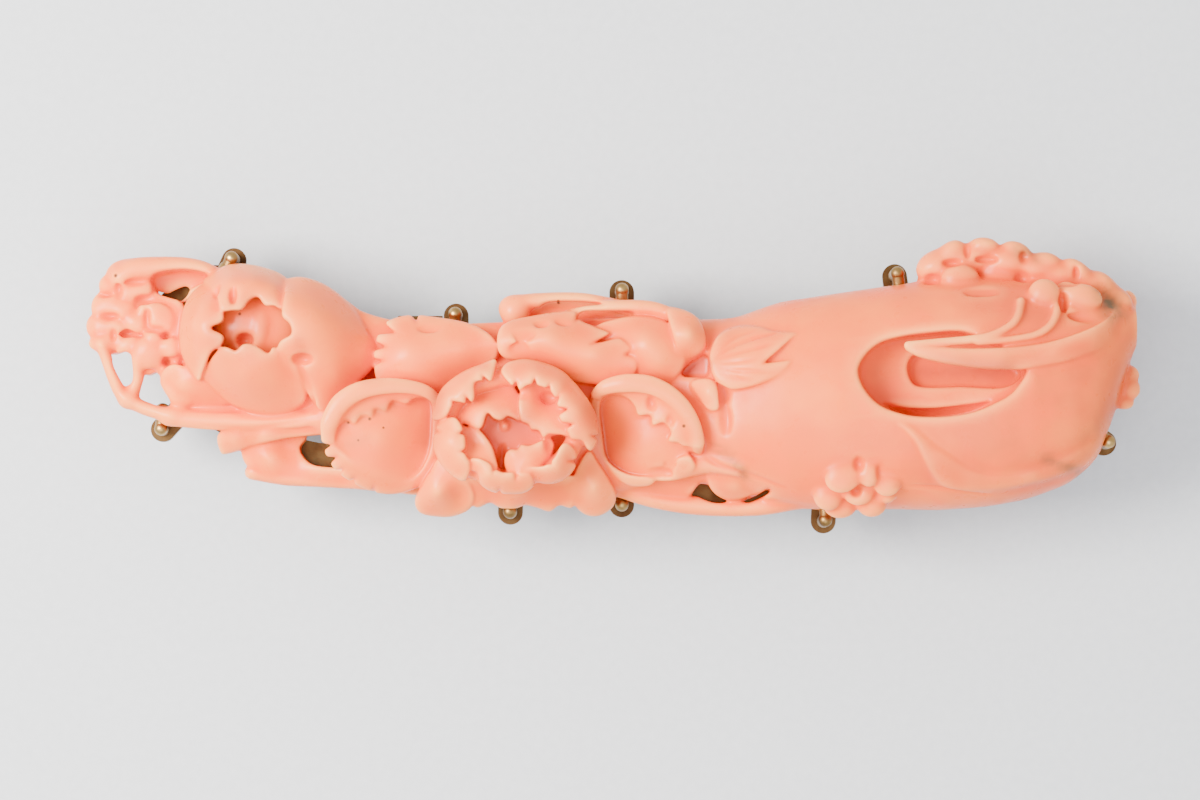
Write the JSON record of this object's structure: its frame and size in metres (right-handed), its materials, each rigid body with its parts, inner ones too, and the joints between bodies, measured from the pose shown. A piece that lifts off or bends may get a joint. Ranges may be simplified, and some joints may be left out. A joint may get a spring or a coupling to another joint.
{
  "type": "obidome",
  "caption": "Carved pink coral branch with peonies, leaves and blossoms, held by prongs on a metal back with rectangular loops for a flat sash cord.",
  "frame": {"origin": "centre of the bounding box at its base, on the plane of the cord loops' flat undersides", "axes": "+X along the branch towards its smooth, pitted end, +Y across it towards the edge with the blossom cluster, +Z from the metal back to the carved face"},
  "size_m": [0.0845, 0.0236, 0.0186],
  "materials": {
    "coral": "polished",
    "gilt_metal": "worn satin"
  },
  "bodies": {
    "root": {"coral_carving": "coral", "prong_mount": "gilt_metal"}
  },
  "joints": []
}
